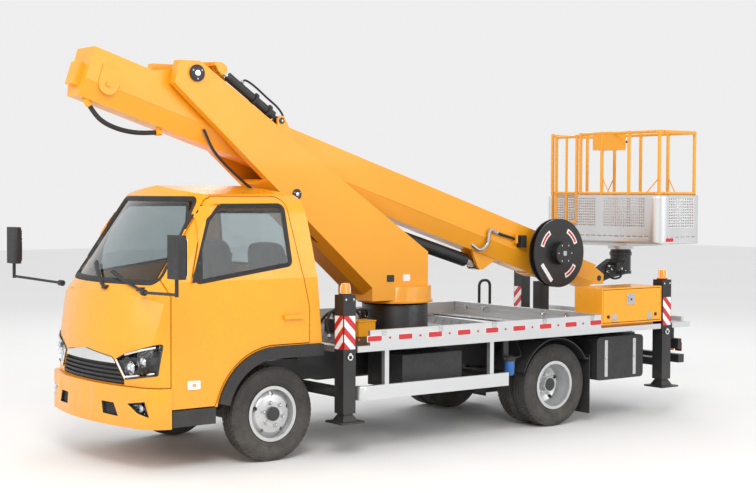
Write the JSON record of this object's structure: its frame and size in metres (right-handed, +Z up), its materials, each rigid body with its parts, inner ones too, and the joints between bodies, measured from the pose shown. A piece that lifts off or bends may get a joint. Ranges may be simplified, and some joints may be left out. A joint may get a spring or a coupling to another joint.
{
  "type": "cherry picker truck",
  "caption": "Light cab-over truck carrying a slewing forked tower, a folded-over telescopic boom, a work basket at its tip and vertical jacks at the deck's corners.",
  "frame": {"origin": "on the ground, under the middle of the bounding box", "axes": "+X forward towards the cab's nose, +Y to the truck's left, +Z up"},
  "size_m": [6.4826, 3.002, 3.2318],
  "materials": {
    "paint": "gloss yellow paint",
    "dark_paint": "satin black paint",
    "dark_plastic": "grained black plastic",
    "tyre": "moulded rubber",
    "wheel": "silver paint",
    "steel": "machined steel",
    "cast": "cast, dusty",
    "aluminium": "brushed sheet",
    "glass": "tinted glass",
    "lamp": "clear lens",
    "grille": "dark slats and a bright bar",
    "seat": "woven cover",
    "signal": "amber and red lenses"
  },
  "bodies": {
    "chassis": {"chassis_frame": "dark_paint", "front_axle": "cast", "rear_axle": "cast", "leaf_springs": "cast", "engine": "cast", "cab_shell": "paint", "cab_glass": "glass", "grille": "grille", "bumper": "paint", "front_lamps": "lamp", "wipers": "dark_plastic", "mirrors": "dark_plastic", "seats": "seat", "dashboard": "dark_plastic", "deck": "aluminium", "toolboxes": "paint", "deck_fittings": "dark_paint", "outrigger_posts": "dark_paint", "side_guards": "aluminium", "mudguards": "dark_plastic", "tanks": "dark_plastic", "signal_lamps": "signal", "pedestal": "dark_paint"},
    "tower": {"tower": "paint"},
    "boom": {"boom_base": "paint", "cable_reel": "dark_paint", "boom_hose": "dark_plastic"},
    "section_2": {"boom_section_2": "paint"},
    "section_3": {"boom_section_3": "paint"},
    "section_4": {"boom_section_4": "paint"},
    "luff_barrel": {"luff_barrel": "dark_paint"},
    "luff_rod": {"luff_rod": "steel"},
    "level_barrel": {"level_barrel": "dark_paint"},
    "level_rod": {"level_rod": "steel"},
    "basket_mount": {"basket_mount": "dark_paint"},
    "basket": {"basket_floor": "aluminium", "basket_panel": "aluminium", "basket_rails": "paint"},
    "basket_gate": {"basket_gate": "paint"},
    "tie_rod": {"tie_rod": "cast"},
    "toolbox_lid_left": {"toolbox_lid_left": "paint"},
    "door_left": {"door_left": "paint", "door_glass_left": "glass"},
    "knuckle_left": {"knuckle_left": "cast"},
    "wheel_front_left": {"tyre_front_left": "tyre", "rim_front_left": "wheel"},
    "wheels_rear_left": {"tyres_rear_left": "tyre", "rims_rear_left": "wheel"},
    "jack_front_left": {"jack_front_left": "dark_paint"},
    "jack_rear_left": {"jack_rear_left": "dark_paint"},
    "door_right": {"door_right": "paint", "door_glass_right": "glass"},
    "knuckle_right": {"knuckle_right": "cast"},
    "wheel_front_right": {"tyre_front_right": "tyre", "rim_front_right": "wheel"},
    "wheels_rear_right": {"tyres_rear_right": "tyre", "rims_rear_right": "wheel"},
    "jack_front_right": {"jack_front_right": "dark_paint"},
    "jack_rear_right": {"jack_rear_right": "dark_paint"}
  },
  "joints": [
    {"name": "slew", "type": "hinge", "parent": "chassis", "child": "tower", "pos_m": [0.03868, 0, 1.134], "axis": [0, 0, 1], "range_deg": [-180, 180]},
    {"name": "boom_luff", "type": "hinge", "parent": "tower", "child": "boom", "pos_m": [2.25568, 0, 3.062], "axis": [0, 1, 0], "range_deg": [0, 85]},
    {"name": "telescope_2", "type": "slide", "parent": "boom", "child": "section_2", "axis": [-0.9533, 0, -0.3019], "range_m": [0, 3.6]},
    {"name": "telescope_3", "type": "slide", "parent": "section_2", "child": "section_3", "axis": [-0.9533, 0, -0.3019], "range_m": [0, 3.6]},
    {"name": "telescope_4", "type": "slide", "parent": "section_3", "child": "section_4", "axis": [-0.9533, 0, -0.3019], "range_m": [0, 3.6]},
    {"name": "luff_barrel_swing", "type": "hinge", "parent": "tower", "child": "luff_barrel", "pos_m": [1.28868, 0, 2.1], "axis": [0, 1, 0], "range_deg": [0, 94.9]},
    {"name": "luff_rod_slide", "type": "slide", "parent": "luff_barrel", "child": "luff_rod", "axis": [-0.9592, 0, -0.2828], "range_m": [0, 1.592]},
    {"name": "level_barrel_swing", "type": "hinge", "parent": "tower", "child": "level_barrel", "pos_m": [1.44168, 0.214, 2.711], "axis": [0, 1, 0], "range_deg": [-4.8, 0]},
    {"name": "level_rod_slide", "type": "slide", "parent": "level_barrel", "child": "level_rod", "axis": [0.8241, 0, 0.5664], "range_m": [0, 0.34]},
    {"name": "basket_level", "type": "hinge", "parent": "section_4", "child": "basket_mount", "pos_m": [-2.53132, 0, 1.262], "axis": [0, 1, 0], "range_deg": [-85, 0]},
    {"name": "basket_swing", "type": "hinge", "parent": "basket_mount", "child": "basket", "pos_m": [-2.92132, 0, 1.545], "axis": [0, 0, 1], "range_deg": [-90, 90]},
    {"name": "gate", "type": "hinge", "parent": "basket", "child": "basket_gate", "pos_m": [-2.63232, -0.355, 2.2], "axis": [0, 0, -1], "range_deg": [0, 90]},
    {"name": "door_left", "type": "hinge", "parent": "chassis", "child": "door_left", "pos_m": [2.82368, 0.87, 1.28], "axis": [0, 0, -1], "range_deg": [0, 70]},
    {"name": "steer_left", "type": "hinge", "parent": "chassis", "child": "knuckle_left", "pos_m": [1.90868, 0.585, 0.375], "axis": [0, 0, 1], "range_deg": [-35, 35]},
    {"name": "spin_front_left", "type": "hinge", "parent": "knuckle_left", "child": "wheel_front_left", "pos_m": [1.90868, 0.759, 0.375], "axis": [0, 1, 0], "continuous": true},
    {"name": "spin_rear_left", "type": "hinge", "parent": "chassis", "child": "wheels_rear_left", "pos_m": [-1.10632, 0.712, 0.375], "axis": [0, 1, 0], "continuous": true},
    {"name": "jack_front_left", "type": "slide", "parent": "chassis", "child": "jack_front_left", "axis": [0, 0, -1], "range_m": [0, 0.45]},
    {"name": "jack_rear_left", "type": "slide", "parent": "chassis", "child": "jack_rear_left", "axis": [0, 0, -1], "range_m": [0, 0.45]},
    {"name": "door_right", "type": "hinge", "parent": "chassis", "child": "door_right", "pos_m": [2.82368, -0.87, 1.28], "axis": [0, 0, 1], "range_deg": [0, 70]},
    {"name": "steer_right", "type": "hinge", "parent": "chassis", "child": "knuckle_right", "pos_m": [1.90868, -0.585, 0.375], "axis": [0, 0, 1], "range_deg": [-35, 35]},
    {"name": "spin_front_right", "type": "hinge", "parent": "knuckle_right", "child": "wheel_front_right", "pos_m": [1.90868, -0.759, 0.375], "axis": [0, 1, 0], "continuous": true},
    {"name": "spin_rear_right", "type": "hinge", "parent": "chassis", "child": "wheels_rear_right", "pos_m": [-1.10632, -0.712, 0.375], "axis": [0, 1, 0], "continuous": true},
    {"name": "jack_front_right", "type": "slide", "parent": "chassis", "child": "jack_front_right", "axis": [0, 0, -1], "range_m": [0, 0.45]},
    {"name": "jack_rear_right", "type": "slide", "parent": "chassis", "child": "jack_rear_right", "axis": [0, 0, -1], "range_m": [0, 0.45]},
    {"name": "toolbox_left", "type": "hinge", "parent": "chassis", "child": "toolbox_lid_left", "pos_m": [-1.97432, 1.04, 0.924], "axis": [-1, 0, 0], "range_deg": [0, 90]},
    {"name": "tie_rod_pivot", "type": "hinge", "parent": "knuckle_left", "child": "tie_rod", "pos_m": [1.73868, 0.585, 0.281], "axis": [0, 0, 1], "range_deg": [-35, 35]}
  ],
  "couplings": [
    {"joint": "slew", "follows": "boom_luff", "ratio": 2.1176},
    {"joint": "basket_level", "follows": "boom_luff", "ratio": -1},
    {"joint": "luff_barrel_swing", "follows": "boom_luff", "ratio": 1.11},
    {"joint": "luff_rod_slide", "follows": "boom_luff", "m_per_rad": 1.07},
    {"joint": "level_barrel_swing", "follows": "boom_luff", "ratio": -0.05},
    {"joint": "level_rod_slide", "follows": "boom_luff", "m_per_rad": 0.226},
    {"joint": "telescope_3", "follows": "telescope_2", "ratio": 1},
    {"joint": "telescope_4", "follows": "telescope_2", "ratio": 1},
    {"joint": "steer_right", "follows": "steer_left", "ratio": 1},
    {"joint": "tie_rod_pivot", "follows": "steer_left", "ratio": -1}
  ]
}
